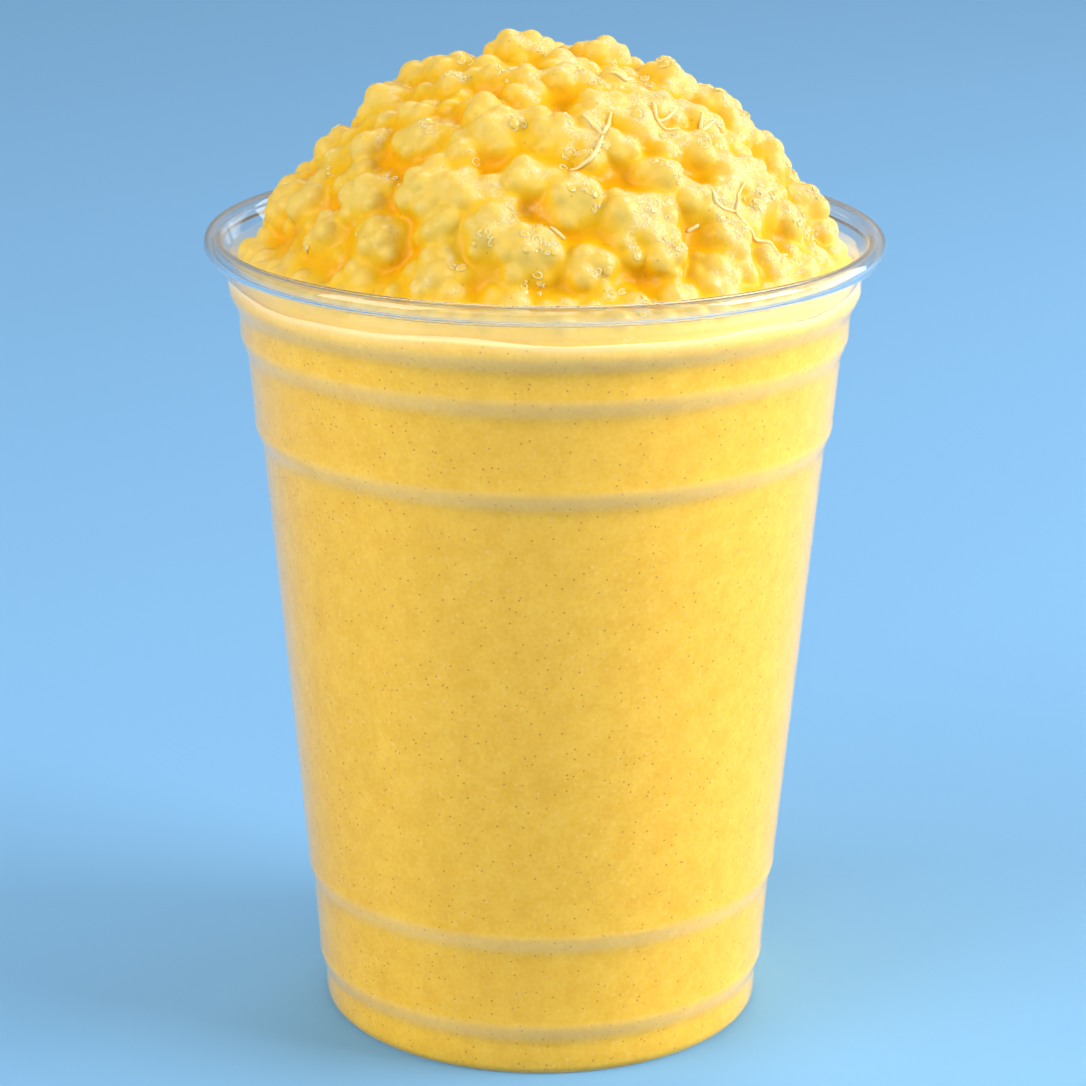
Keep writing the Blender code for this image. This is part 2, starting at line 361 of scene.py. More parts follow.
# The lobes that show at the front, down from the top: degrees round from the front, degrees down
# from the top, width, and how far the lobe stands out of the dome. Bare hollows lie between them.
FRONT_LOBES = (
    (-140, 8, 10.6 * MM, 1.9 * MM), (11, 13, 4.5 * MM, 0.0), (125, 14, 8.0 * MM, 1.4 * MM),
    (-42, 15, 4.0 * MM, 0.0), (49, 18, 4.5 * MM, 0.1 * MM), (-95, 19, 7.7 * MM, 0.9 * MM),
    (-62, 20, 6.0 * MM, -0.2 * MM), (95, 24, 7.1 * MM, 1.5 * MM), (26, 24, 5.0 * MM, 0.1 * MM),
    (-28, 26, 4.5 * MM, 0.0), (35, 31, 6.0 * MM, 0.3 * MM), (-57, 31, 5.0 * MM, -0.2 * MM),
    (3, 32, 7.0 * MM, 0.3 * MM), (-19, 32, 8.5 * MM, 0.5 * MM), (-90, 33, 8.0 * MM, 1.0 * MM),
    (18, 34, 4.5 * MM, -0.3 * MM), (92, 34, 6.8 * MM, 1.2 * MM), (68, 33, 6.0 * MM, 0.2 * MM),
    (-44, 36, 7.5 * MM, 0.2 * MM), (51, 39, 5.5 * MM, 0.2 * MM), (-63, 41, 6.0 * MM, 0.0),
    (88, 39, 6.3 * MM, 0.6 * MM), (-90, 47, 7.7 * MM, 0.1 * MM), (-6, 43, 6.0 * MM, 0.2 * MM),
    (33, 44, 6.0 * MM, 0.3 * MM), (56, 46, 6.0 * MM, 0.4 * MM), (-31, 47, 8.5 * MM, 1.1 * MM),
    (-21, 48, 7.5 * MM, 0.8 * MM), (7, 48, 8.0 * MM, 0.7 * MM), (40, 50, 5.0 * MM, 0.2 * MM),
    (90, 48, 7.7 * MM, 1.1 * MM), (-49, 51, 8.0 * MM, 0.4 * MM), (-88, 61, 9.2 * MM, 1.2 * MM),
    (20, 52, 8.5 * MM, 0.6 * MM), (63, 53, 5.5 * MM, 0.3 * MM), (-24, 55, 7.0 * MM, 0.4 * MM),
    (-12, 55, 8.5 * MM, 1.2 * MM), (-72, 56, 7.0 * MM, 0.3 * MM), (-3, 59, 8.5 * MM, 1.2 * MM),
    (45, 58, 6.5 * MM, 0.3 * MM), (-56, 60, 6.5 * MM, 0.2 * MM), (-39, 59, 8.0 * MM, 0.5 * MM),
    (70, 60, 5.5 * MM, 0.2 * MM), (26, 60, 6.0 * MM, 0.2 * MM),
    (9, 62, 7.5 * MM, 0.5 * MM), (90, 61, 7.5 * MM, 1.8 * MM), (-22, 65, 9.5 * MM, 0.8 * MM),
    (37, 66, 7.5 * MM, 0.5 * MM), (54, 66, 6.0 * MM, 0.2 * MM), (-41, 68, 7.0 * MM, 0.2 * MM),
    (27, 69, 5.5 * MM, 0.2 * MM), (-7, 68, 6.5 * MM, 0.3 * MM), (2, 70, 5.5 * MM, 0.0),
    (16, 70, 5.5 * MM, 0.2 * MM), (-63, 69, 6.5 * MM, 0.2 * MM), (74, 69, 5.0 * MM, 0.0),
    (88, 68, 6.3 * MM, 1.6 * MM), (-85, 71, 6.3 * MM, 1.6 * MM),
)
HOLLOWS = (
    (2, 24), (19, 43), (6, 55), (-3, 48), (-13, 42), (-31, 54), (-50, 43), (34, 56), (18, 65),
    (-30, 60), (-56, 52), (48, 44),
)
HOLLOW_RADIUS = 2.4 * MM

# The lobes wherever one more fits: their widths, largest first, how close they may stand as a share
# of that, how far they sink and vary at the front, and how far they vary at the back
FILLING_WIDTHS = (9.5 * MM, 8.5 * MM, 7.5 * MM, 6.5 * MM, 5.5 * MM, 4.6 * MM, 3.8 * MM)
TRIES_PER_WIDTH = 700
LOWEST_LOBE = 71.0
LOBE_SPACING = 0.84
LOBE_SINK = 1.1 * MM
LOBE_RISE = 0.9 * MM
BACK_RISE = 1.3 * MM

# What a lobe's bare ball gives up to the nodules that swell on it
LOBE_SWELL = 0.3
SKIN_DEPTH = 0.6 * MM
NODULE_RADIUS = 0.9 * MM
NODULE_GROWTH = 0.21

# The nodules that swell all over the lobes: how far apart they stand at the left and at the
# right, how much that varies, their height and roundness as shares of that, and their creases
NODULE_SPACING = (3.5 * MM, 2.9 * MM)
SPACING_CHANGE = 1.6 * DOME_RADIUS
SPACING_RANGE = (0.8, 1.25)
NODULE_HEIGHT = 0.28
NODULE_BALL = 0.62
NODULE_ROUNDING = 0.15 * MM
NODULE_LEVEL = 115.2 * MM
VALLEY_ROUNDS = 60
VALLEY_DEPTH = 0.35 * MM
VALLEY_CALM = 0.75
CALM_ROUNDS = 4
SKIN_ROUNDS = 2

# The share of painted shade in the colour, a deeper gold: its mean, what each metre of depth adds,
# and what the lower side of a lobe adds, which faces away from LOBE_TOP_WAY. It is painted shade in
# the creases and valleys, deep in the dome and under each lobe, painted shadow on the shoulder
# under the lip, and it thins out towards the right, which is painted light.
SHADE_MEAN = 0.34
SHADE_IN_CREASES = 0.08 / (0.2 * MM)
SHADE_IN_VALLEYS = 0.38 / (0.9 * MM)
SHADE_DEEP_DOWN = 0.25 / (3.0 * MM)
DEPTH_MEAN = 1.6 * MM
SHADE_UNDERNEATH = 0.3
LOBE_TOP_WAY = (0.5, -0.1, 0.86)
NODULE_ROUNDS = 25
LOBE_ROUNDS = 260
SHADE_ROUNDS = 3
SHADOW_AT_WALL = 0.3
PALER_RIGHT = 0.3
PALER_FROM = -0.3 * DOME_RADIUS

# Where air gathers: the upper right of each lobe, less at the left and none in the valleys. These
# are the sides that the main light falls on, and the pale tint over them is painted light.
AIR_WAY = (0.62, -0.3, 0.72)
AIR_FACING = (0.7, 0.95)
AIR_OUTWARD = 0.45
AIR_LEFT_SHARE = 0.25
AIR_CHANGE = 0.9 * DOME_RADIUS
AIR_VALLEY = 0.5 * MM
AIR_SMOOTHING = 12


def direction(round_from_front, down_from_top):
    """Unit vector for two angles in degrees; the front is -Y."""
    round_angle = math.radians(round_from_front)
    down = math.radians(down_from_top)
    return np.array([
        math.sin(down) * math.sin(round_angle),
        -math.sin(down) * math.cos(round_angle),
        math.cos(down),
    ])


def lobes():
    """(axis, radius, rise) of each lobe: those at the front, then others wherever they still fit."""
    rng = random.Random(SEED)
    found = [(direction(turn, down), width / 2, rise) for turn, down, width, rise in FRONT_LOBES]
    hollows = [(direction(turn, down), HOLLOW_RADIUS, 0.0) for turn, down in HOLLOWS]
    lowest = math.cos(math.radians(LOWEST_LOBE))
    for width in FILLING_WIDTHS:
        for _ in range(TRIES_PER_WIDTH):
            down = math.degrees(math.acos(rng.uniform(lowest, 1.0)))
            axis = direction(rng.uniform(-180.0, 180.0), down)
            level = rng.uniform(-1.0, 1.0)
            rise = LOBE_RISE * level - LOBE_SINK if axis[1] < 0 else BACK_RISE * level
            if all(
                DOME_RADIUS * np.linalg.norm(axis - other) > LOBE_SPACING * (width / 2 + radius)
                for other, radius, _ in found + hollows
            ):
                found.append((axis, width / 2, rise))
    return found


def nodule_radius(lobe_radius):
    return NODULE_RADIUS + NODULE_GROWTH * lobe_radius


def shoulder_distance(points):
    """Distance of points from the smooth shoulder, a convex outline turned about Z."""
    across = np.hypot(points[:, 0], points[:, 1])
    height = points[:, 2] + DOME_MIDDLE
    outside = np.zeros(len(points))
    for (radius, low), (next_radius, next_low) in zip(SHOULDER, SHOULDER[1:]):
        length = math.hypot(next_radius - radius, next_low - low)
        away = (across - radius) * (low - next_low) + (height - low) * (next_radius - radius)
        away /= length
        outside += np.exp(np.minimum(away / SHOULDER_ROUNDING, MOST_FAR))
    return SHOULDER_ROUNDING * np.log(outside)


def heap_reach(directions):
    """How far the bare lobes reach from the dome's middle in each direction, by walking in."""
    parts = []
    for axis, radius, rise in lobes():
        width = radius + LOBE_SWELL * nodule_radius(radius)
        middle = DOME_RADIUS + rise - SKIN_DEPTH - width
        cone = math.cos(math.asin(min(1.0, width / middle)) + math.radians(CONE_MARGIN))
        parts.append((np.nonzero(directions @ axis > cone)[0], axis * middle, width))
    reach = np.full(len(directions), WALK_START)
    for _ in range(WALK_STEPS):
        points = directions * reach[:, None]
        near = np.exp((DOME_RADIUS - CREASE_DEPTH - reach) / CREASE_ROUNDING)
        near += np.exp(np.minimum(-shoulder_distance(points) / CREASE_ROUNDING, MOST_NEAR))
        for touched, centre, width in parts:
            own = np.linalg.norm(points[touched] - centre, axis=1) - width
            near[touched] += np.exp(np.minimum(-own / CREASE_ROUNDING, MOST_NEAR))
        reach += CREASE_ROUNDING * np.log(near)
    return reach


def nodule_places(points, rng):
    """(place, spacing) of nodules strewn over the points, none nearer than the spacing there."""
    order = list(range(len(points)))
    rng.shuffle(order)
    cell = NODULE_SPACING[0] * SPACING_RANGE[1]
    taken = {}
    chosen = []
    for index in order:
        point = points[index]
        if point[2] < NODULE_LEVEL:
            continue
        share = min(1.0, max(0.0, 0.5 + point[0] / SPACING_CHANGE))
        mean = NODULE_SPACING[0] * (1 - share) + NODULE_SPACING[1] * share
        spacing = mean * rng.uniform(*SPACING_RANGE)
        home = tuple(int(math.floor(c / cell)) for c in point)
        around = (
            (home[0] + i, home[1] + j, home[2] + k)
            for i in (-1, 0, 1) for j in (-1, 0, 1) for k in (-1, 0, 1)
        )
        if all(
            math.dist(point, other) > (spacing + own) / 2
            for place in around for other, own in taken.get(place, ())
        ):
            taken.setdefault(home, []).append((point, spacing))
            chosen.append((index, spacing))
    return chosen


def nodule_swell(points, normals, chosen):
    """How far each point is pushed out along its normal to the skin of the nearest nodules."""
    near = np.ones(len(points))
    for index, spacing in chosen:
        radius = NODULE_BALL * spacing
        centre = points[index] + normals[index] * (NODULE_HEIGHT * spacing - radius)
        touched = np.nonzero(np.abs(points - centre).max(axis=1) < radius)[0]
        offset = centre - points[touched]
        along = (offset * normals[touched]).sum(axis=1)
        inside = radius**2 - (offset**2).sum(axis=1) + along**2
        swell = np.where(inside > 0, along + np.sqrt(np.maximum(inside, 0.0)), 0.0)
        near[touched] += np.exp(np.minimum(swell / NODULE_ROUNDING, MOST_NEAR)) - 1.0
    return NODULE_ROUNDING * np.log(np.maximum(near, 1.0))


def smoothed_over(values, edges, rounds):
    """Values at the mesh's points, averaged with their neighbours again and again."""
    count = len(values)
    first, second = edges.T
    neighbours = np.maximum(np.bincount(edges.ravel(), minlength=count), 1)
    columns = values.reshape(count, -1).T.copy()
    for _ in range(rounds):
        for column in columns:
            total = np.bincount(first, column[second], count)
            total += np.bincount(second, column[first], count)
            column += (total / neighbours - column) / 2
    return columns.T.reshape(values.shape)


# The skin is a fine ball whose points are moved to the lobes' surface and then out over the
# nodules. It is cut off level inside the cup and closed there.
skin = bmesh.new()
bmesh.ops.create_icosphere(skin, subdivisions=DOME_DETAIL, radius=1.0)
lowest_used = math.cos(math.radians(HEAP_LOWEST))
bmesh.ops.delete(skin, geom=[v for v in skin.verts if v.co.z < lowest_used], context="VERTS")
skin.verts.index_update()
ways = np.array([vertex.co.normalized() for vertex in skin.verts])
bare = ways * heap_reach(ways)[:, None] + [0.0, 0.0, DOME_MIDDLE]
for vertex, point in zip(skin.verts, bare):
    vertex.co = point
skin.normal_update()
bare_normals = np.array([vertex.normal for vertex in skin.verts])
bare_edges = np.array([[vertex.index for vertex in edge.verts] for edge in skin.edges])
sunk = ((smoothed_over(bare, bare_edges, VALLEY_ROUNDS) - bare) * bare_normals).sum(axis=1)
swell_share = 1.0 - VALLEY_CALM * np.clip(sunk / VALLEY_DEPTH, 0.0, 1.0)
places = nodule_places(bare, random.Random(SEED))
swell = nodule_swell(bare, bare_normals, places) * smoothed_over(swell_share, bare_edges, CALM_ROUNDS)
swollen = smoothed_over(bare + bare_normals * swell[:, None], bare_edges, SKIN_ROUNDS)
across = np.hypot(swollen[:, 0], swollen[:, 1])
too_wide = (across > DOME_REACH) & (swollen[:, 2] > FILL_LEVEL)
keep = np.where(too_wide, DOME_REACH / np.maximum(across, MM), 1.0)
swollen[:, :2] *= keep[:, None]
for vertex, point in zip(skin.verts, swollen):
    vertex.co = point
bmesh.ops.bisect_plane(
    skin, geom=[*skin.verts, *skin.edges, *skin.faces],
    plane_co=(0, 0, HEAP_BOTTOM), plane_no=(0, 0, 1), clear_inner=True,
)
bmesh.ops.holes_fill(skin, edges=[edge for edge in skin.edges if edge.is_boundary])
heap_mesh = bpy.data.meshes.new("smoothie_heap")
skin.to_mesh(heap_mesh)
skin.free()
heap_mesh.polygons.foreach_set("use_smooth", [True] * len(heap_mesh.polygons))
heap = bpy.data.objects.new("smoothie_heap", heap_mesh)
bpy.context.scene.collection.objects.link(heap)


# Where the painted shade, and the air with its painted light, go, for the heap's colour. The
# painted shade is in the creases between nodules and the valleys between lobes, deep in the dome,
# on the lower side of each lobe and on the shoulder under the lip, and it thins towards the lit right.
heap_points = np.empty(len(heap.data.vertices) * 3)
heap.data.vertices.foreach_get("co", heap_points)
heap_points = heap_points.reshape(-1, 3)
heap_normals = np.empty(len(heap.data.vertices) * 3)
heap.data.vertices.foreach_get("normal", heap_normals)
heap_normals = heap_normals.reshape(-1, 3)
heap_edges = np.empty(len(heap.data.edges) * 2, dtype=np.int64)
heap.data.edges.foreach_get("vertices", heap_edges)
heap_edges = heap_edges.reshape(-1, 2)
to_nodules = smoothed_over(heap_points, heap_edges, NODULE_ROUNDS) - heap_points
below_nodules = (to_nodules * heap_normals).sum(axis=1)
to_lobes = smoothed_over(heap_points, heap_edges, LOBE_ROUNDS) - heap_points
below_lobes = (to_lobes * heap_normals).sum(axis=1)
from_middle = heap_points - [0.0, 0.0, DOME_MIDDLE]
distances = np.linalg.norm(from_middle, axis=1)
depth_in_dome = DOME_RADIUS - distances
upward = heap_normals @ np.array(LOBE_TOP_WAY)
turned_down = smoothed_over(upward, heap_edges, LOBE_ROUNDS) - upward
painted_shade = (
    SHADE_MEAN + SHADE_IN_CREASES * below_nodules + SHADE_IN_VALLEYS * below_lobes
    + SHADE_DEEP_DOWN * (depth_in_dome - DEPTH_MEAN) + SHADE_UNDERNEATH * turned_down
)
# Painted shadow of the lip and neck on the shoulder below the nodules
painted_shade += SHADOW_AT_WALL * np.clip((NODULE_LEVEL - heap_points[:, 2]) / MM + 0.5, 0.0, 1.0)
painted_shade = smoothed_over(np.clip(painted_shade, 0.0, 1.0), heap_edges, SHADE_ROUNDS)
# Painted light: paler towards the right, where the main light falls
painted_shade *= 1.0 - PALER_RIGHT * np.clip((heap_points[:, 0] - PALER_FROM) / DOME_RADIUS, 0.0, 1.0)
heap.data.attributes.new("painted_shade", "FLOAT", "POINT").data.foreach_set("value", painted_shade)
air_way = np.array(AIR_WAY) + AIR_OUTWARD * from_middle / distances[:, None]
facing = smoothed_over(
    (heap_normals * air_way).sum(axis=1) / np.linalg.norm(air_way, axis=1), heap_edges, AIR_SMOOTHING
)
air_and_painted_light = np.clip((facing - AIR_FACING[0]) / (AIR_FACING[1] - AIR_FACING[0]), 0.0, 1.0)
rightward = np.clip(0.5 + heap_points[:, 0] / AIR_CHANGE, 0.0, 1.0)
air_and_painted_light *= AIR_LEFT_SHARE + (1 - AIR_LEFT_SHARE) * rightward
air_and_painted_light *= 1.0 - np.clip(below_lobes / AIR_VALLEY, 0.0, 1.0)
air_and_painted_light *= np.clip((heap_points[:, 2] - NODULE_LEVEL) / MM - 0.5, 0.0, 1.0)
heap.data.attributes.new("air_and_painted_light", "FLOAT", "POINT").data.foreach_set("value", air_and_painted_light)

# Half-frozen mango smoothie, under a wet glaze of melt: pale cream-yellow where light falls and
# deep gold painted into the creases and lower sides as shade, for the light passed from wall to wall.
frozen_mango = new_material("half_frozen_mango_with_melt_glaze")
heap_place = add_node(frozen_mango, "ShaderNodeTexCoord")
painted_shade_share = add_node(frozen_mango, "ShaderNodeAttribute", {"attribute_name": "painted_shade"})
heap_cloud = add_node(
    frozen_mango, "ShaderNodeTexNoise", {"Scale": 1 / (5 * MM), "Detail": 3.0},
    {"Vector": heap_place.outputs["Object"]},
)
heap_shade = add_node(
    frozen_mango, "ShaderNodeMath", {"operation": "MULTIPLY_ADD", 1: 0.25},
    {0: heap_cloud.outputs["Fac"], 2: painted_shade_share.outputs["Fac"]},
)
# From the pale lit colour to the deep gold of the painted shade
heap_colour = add_node(frozen_mango, "ShaderNodeValToRGB", None, {"Fac": heap_shade.outputs["Value"]})
heap_ramp = heap_colour.color_ramp.elements
heap_ramp[0].position = 0.1
heap_ramp[0].color = linear("#e6c25c")
heap_ramp[1].position = 1.0
heap_ramp[1].color = linear("#e5a200")
heap_ramp.new(0.4).color = linear("#e7b92c")
heap_ramp.new(0.7).color = linear("#e7af08")
heap_fibres = add_node(
    frozen_mango, "ShaderNodeTexVoronoi", {"Scale": 1 / (2.4 * MM)},
    {"Vector": heap_place.outputs["Object"]},
)
heap_specks = add_node(
    frozen_mango, "ShaderNodeMapRange",
    {"From Min": 0.04, "From Max": 0.08, "To Min": 0.5, "To Max": 0.0},
    {"Value": heap_fibres.outputs["Distance"]},
)
heap_speckled = add_node(
    frozen_mango, "ShaderNodeMix", {"data_type": "RGBA", 7: linear("#a8701c")},
    {0: heap_specks.outputs["Result"], 6: heap_colour.outputs["Color"]},
)
heap_pores = add_node(
    frozen_mango, "ShaderNodeTexNoise", {"Scale": 1 / (0.8 * MM), "Detail": 2.0},
    {"Vector": heap_place.outputs["Object"]},
)
heap_relief = add_node(
    frozen_mango, "ShaderNodeBump", {"Strength": 0.5, "Distance": 0.12 * MM},
    {"Height": heap_pores.outputs["Fac"]},
)
# The skin is full of fine bubbles where air gathers: two sizes of ring, warped and broken up, raised
# in relief and drawn in pale cream, which is partly painted glint.
# Each is the size of the cells that hold one ring, its radius and half its line, in cell widths.
BUBBLE_RINGS = ((1.7 * MM, 0.36, 0.11), (1.0 * MM, 0.34, 0.16))
air_and_light_share = add_node(frozen_mango, "ShaderNodeAttribute", {"attribute_name": "air_and_painted_light"})
air_cloud = add_node(
    frozen_mango, "ShaderNodeTexNoise", {"Scale": 1 / (3 * MM), "Detail": 2.0},
    {"Vector": heap_place.outputs["Object"]},
)
air_sum = add_node(
    frozen_mango, "ShaderNodeMath", {"operation": "MULTIPLY_ADD", 1: 1.6},
    {0: air_cloud.outputs["Fac"], 2: air_and_light_share.outputs["Fac"]},
)
air_and_light_mask = add_node(
    frozen_mango, "ShaderNodeMapRange", {"From Min": 1.0, "From Max": 1.4},
    {"Value": air_sum.outputs["Value"]},
)
ring_warp = add_node(
    frozen_mango, "ShaderNodeTexNoise", {"Scale": 1 / (1.2 * MM), "Detail": 1.0},
    {"Vector": heap_place.outputs["Object"]},
)
ring_place = add_node(
    frozen_mango, "ShaderNodeVectorMath", {"operation": "MULTIPLY_ADD", 1: (0.8 * MM,) * 3},
    {0: ring_warp.outputs["Color"], 2: heap_place.outputs["Object"]},
)
ring_lines = []
for cell, ring_radius, half_line in BUBBLE_RINGS:
    ring_cells = add_node(
        frozen_mango, "ShaderNodeTexVoronoi", {"Scale": 1 / cell},
        {"Vector": ring_place.outputs["Vector"]},
    )
    from_ring = add_node(
        frozen_mango, "ShaderNodeMath", {"operation": "SUBTRACT", 1: ring_radius},
        {0: ring_cells.outputs["Distance"]},
    )
    off_ring = add_node(
        frozen_mango, "ShaderNodeMath", {"operation": "ABSOLUTE"}, {0: from_ring.outputs["Value"]},
    )
    ring_line = add_node(
        frozen_mango, "ShaderNodeMapRange",
        {"interpolation_type": "SMOOTHSTEP", "From Max": half_line, "To Min": 1.0, "To Max": 0.0},
        {"Value": off_ring.outputs["Value"]},
    )
    ring_lines.append(ring_line.outputs["Result"])
rings = add_node(
    frozen_mango, "ShaderNodeMath", {"operation": "MAXIMUM"}, dict(enumerate(ring_lines)),
)
masked_rings = add_node(
    frozen_mango, "ShaderNodeMath", {"operation": "MULTIPLY"},
    {0: rings.outputs["Value"], 1: air_and_light_mask.outputs["Result"]},
)
# Painted light: a pale tint where the main light falls on the lobes
painted_light_tint = add_node(
    frozen_mango, "ShaderNodeMath", {"operation": "MULTIPLY", 1: 0.25},
    {0: air_and_light_mask.outputs["Result"]},
)
ring_and_light_tint = add_node(
    frozen_mango, "ShaderNodeMath", {"operation": "MULTIPLY_ADD", 1: 0.6},
    {0: masked_rings.outputs["Value"], 2: painted_light_tint.outputs["Value"]},
)
heap_aired_and_lit = add_node(
    frozen_mango, "ShaderNodeMix", {"data_type": "RGBA", 7: linear("#f3e0ac")},
    {0: ring_and_light_tint.outputs["Value"], 6: heap_speckled.outputs[2]},
)
ring_relief = add_node(
    frozen_mango, "ShaderNodeBump", {"Strength": 0.7, "Distance": 0.15 * MM},
    {"Height": masked_rings.outputs["Value"], "Normal": heap_relief.outputs["Normal"]},
)
heap_shader = add_node(
    frozen_mango, "ShaderNodeBsdfPrincipled",
    {
        "subsurface_method": "BURLEY",
        "Roughness": 0.4, "IOR": 1.36, "Specular IOR Level": 0.2, "Subsurface Weight": 0.5,
        "Subsurface Radius": (1.0, 0.8, 0.35), "Subsurface Scale": 1.2 * MM,
        "Coat Weight": 0.25, "Coat Roughness": 0.2, "Coat IOR": 1.33,
    },
    {
        "Base Color": heap_aired_and_lit.outputs[2], "Normal": ring_relief.outputs["Normal"],
        "Coat Normal": ring_relief.outputs["Normal"],
    },
)
add_node(frozen_mango, "ShaderNodeOutputMaterial", None, {"Surface": heap_shader.outputs["BSDF"]})
heap.data.materials.append(frozen_mango)
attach(heap, "root")
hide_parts("smoothie")

# Air bubbles and strands on the heap
# Whipping beats air into the smoothie: small bubbles rise through the melt, gather on the upper
# right of each lobe and burst there, leaving ring-shaped edges, with thin strands drawn between.
PATCHES = 150
PATCH_RADIUS = (0.7 * MM, 2.3 * MM)
PATCH_TRIES = 10
BUBBLE_RADIUS = (0.2 * MM, 0.75 * MM)
BUBBLE_SMALLNESS = 1.5
BUBBLE_OVERLAP = 0.9
RING_THICKNESS = (0.1 * MM, 0.18 * MM)
RING_POINTS = 14
RING_SIDES = 5
RING_ARC = (0.55, 1.15)
RING_WOBBLE = 0.1
RING_SQUASH = (0.65, 1.0)
RING_LIFT = 0.05
RING_END = 0.35
RING_SHARE = 0.6
CAP_SHARE = 0.35
CAP_FLATNESS = 0.28
GATHER_SPREAD = 0.3
RAY_MARGIN = 12 * MM

# The strands that show, each as degrees round from the front and down from the top
STRANDS = (
    (
        (56.1, 49.6), (52.0, 51.5), (48.4, 54.1), (49.7, 57.1),
        (52.1, 59.6), (56.0, 61.6), (58.3, 63.7), (61.8, 64.9),
    ),
    ((42.9, 47.8), (42.0, 50.7), (43.9, 52.6), (48.4, 54.1)),
    ((48.9, 27.3), (44.9, 30.7), (45.5, 33.0), (50.6, 34.4)),
    ((44.9, 30.7), (48.9, 31.1), (56.3, 30.5)),
    ((14.0, 29.2), (17.5, 32.5), (18.2, 35.1), (21.9, 32.2), (25.7, 28.6)),
    ((18.2, 35.1), (14.2, 39.0), (12.1, 40.7), (6.9, 41.5)),
    ((63.3, 33.6), (60.6, 36.0), (67.4, 35.9)),
    ((34.9, 55.2), (38.0, 54.6)),
    ((1.3, 53.4), (4.3, 55.7)),
    ((41.3, 17.8), (47.4, 20.3), (57.5, 19.3)),
)
STRAND_THICKNESS = 0.32 * MM
STRAND_STEP = 0.35 * MM
STRAND_SIDES = 6
STRAND_LIFT = 0.35 * STRAND_THICKNESS
STRAND_END = 0.4
STRAND_UNEVENNESS = (0.85, 1.15)
WALK_ROUNDS = 3
LAID_ROUNDS = 2

heap_surface = BVHTree.FromPolygons(
    [vertex.co for vertex in heap.data.vertices], [tuple(face.vertices) for face in heap.data.polygons]
)
dome_middle = Vector((0.0, 0.0, DOME_MIDDLE))


def ball_template(subdivisions):
    """Points and faces of a round ball of radius 1."""
    shape = bmesh.new()
    bmesh.ops.create_icosphere(shape, subdivisions=subdivisions, radius=1.0)
    points = np.array([vertex.co for vertex in shape.verts])
    faces = np.array([[vertex.index for vertex in face.verts] for face in shape.faces])
    shape.free()
    return points, faces


def joined_mesh(name, copies):
    """One mesh from copies of small shapes, each given as its placed points and its faces."""
    points, faces, used = [], [], 0
    for own_points, own_faces in copies:
        points.append(own_points)
        faces.append(own_faces + used)
        used += len(own_points)
    mesh = bpy.data.meshes.new(name)
    mesh.from_pydata(np.concatenate(points).tolist(), [], np.concatenate(faces).tolist())
    mesh.polygons.foreach_set("use_smooth", [True] * len(mesh.polygons))
    return mesh


def gathered_place(rng, weighted):
    """A point and normal on the heap where bubbles gather: on the upper right of a lobe."""
    while True:
        centre, radius, _ = rng.choices(weighted, weights=[w for _, _, w in weighted])[0]
        way = Vector(AIR_WAY) + AIR_OUTWARD * (centre - dome_middle).normalized()
        way += Vector([rng.gauss(0.0, GATHER_SPREAD) for _ in range(3)])
        way.normalize()
        place, normal, _, _ = heap_surface.ray_cast(centre + way * (radius + RAY_MARGIN), -way)
        if place and place.z > NODULE_LEVEL:
            return place, normal


def frame_on(normal, rng):
    """Two directions across a normal, turned at random."""
    across = normal.orthogonal().normalized()
    across.rotate(Matrix.Rotation(rng.uniform(0, 2 * math.pi), 3, normal))
    return across, normal.cross(across)


def tube(centres, sizes, sides):
    """Points and faces of a closed tube along the centres, with its ends drawn to a point."""
    points, faces = [], []
    for index, centre in enumerate(centres):
        ahead = (centres[min(index + 1, len(centres) - 1)] - centres[max(index - 1, 0)]).normalized()
        out = (centre - dome_middle).normalized()
        side = ahead.cross(out).normalized()
        out = side.cross(ahead)
        for step in range(sides):
            turn = 2 * math.pi * step / sides
            points.append(centre + (side * math.cos(turn) + out * math.sin(turn)) * sizes[index])
    for index in range(len(centres) - 1):
        for step in range(sides):
            a, b = index * sides + step, index * sides + (step + 1) % sides
            faces.append((a, b, b + sides))
            faces.append((a, b + sides, a + sides))
    for first, order in ((0, -1), ((len(centres) - 1) * sides, 1)):
        for step in range(1, sides - 1):
            corner = (first, first + step, first + step + 1)
            faces.append(corner if order > 0 else corner[::-1])
    return np.array(points), np.array(faces)


def eased_line(points, rounds):
    """The line of points with its kinks averaged away; its ends stay."""
    for _ in range(rounds):
        inner = [(a + 2 * b + c) / 4 for a, b, c in zip(points, points[1:], points[2:])]
        points = [points[0], *inner, points[-1]]
    return points


def on_heap(point, lift):
    """The nearest point of the heap, lifted off it along its normal."""
    place, normal, _, _ = heap_surface.find_nearest(point)
    return place + normal * lift


rng = random.Random(SEED + 1)
weighted_lobes = []
for axis, radius, rise in lobes():
    width = radius + LOBE_SWELL * nodule_radius(radius)
    centre = dome_middle + Vector(axis) * (DOME_RADIUS + rise - SKIN_DEPTH - width)
    rightward = min(1.0, max(0.0, 0.5 + centre.x / AIR_CHANGE))
    airiness = AIR_LEFT_SHARE + (1 - AIR_LEFT_SHARE) * rightward
    weighted_lobes.append((centre, width, radius**2 * airiness))

